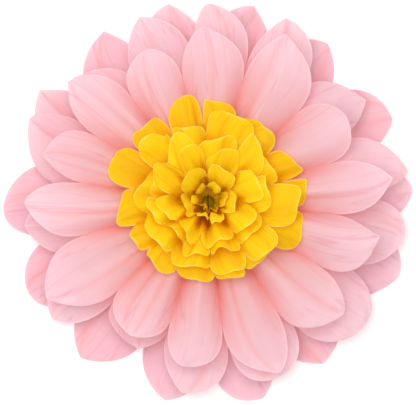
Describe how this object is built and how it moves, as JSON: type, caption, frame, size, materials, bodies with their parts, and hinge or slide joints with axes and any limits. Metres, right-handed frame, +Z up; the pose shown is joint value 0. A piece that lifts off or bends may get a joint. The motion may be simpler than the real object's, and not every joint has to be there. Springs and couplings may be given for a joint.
{
  "type": "tissue paper pom pom",
  "caption": "Round flower pom pom of folded tissue paper, with layered pink petals around a ruffled yellow centre.",
  "frame": {"origin": "centre of the spread in X and Y, on the surface that the lowest petals lie on", "axes": "+Z up out of the flower's open face, +Y along the slit between the two half fans"},
  "size_m": [0.2999, 0.2907, 0.078],
  "materials": {
    "pink_tissue": "matte",
    "yellow_tissue": "matte",
    "tinned_wire": "satin"
  },
  "bodies": {
    "root": {"pink_sheet_1": "pink_tissue", "pink_sheet_2": "pink_tissue", "pink_sheet_3": "pink_tissue", "yellow_sheet_1": "yellow_tissue", "yellow_sheet_2": "yellow_tissue", "yellow_sheet_3": "yellow_tissue", "yellow_sheet_4": "yellow_tissue", "yellow_sheet_5": "yellow_tissue", "yellow_sheet_6": "yellow_tissue", "binding_wire": "tinned_wire"}
  },
  "joints": []
}
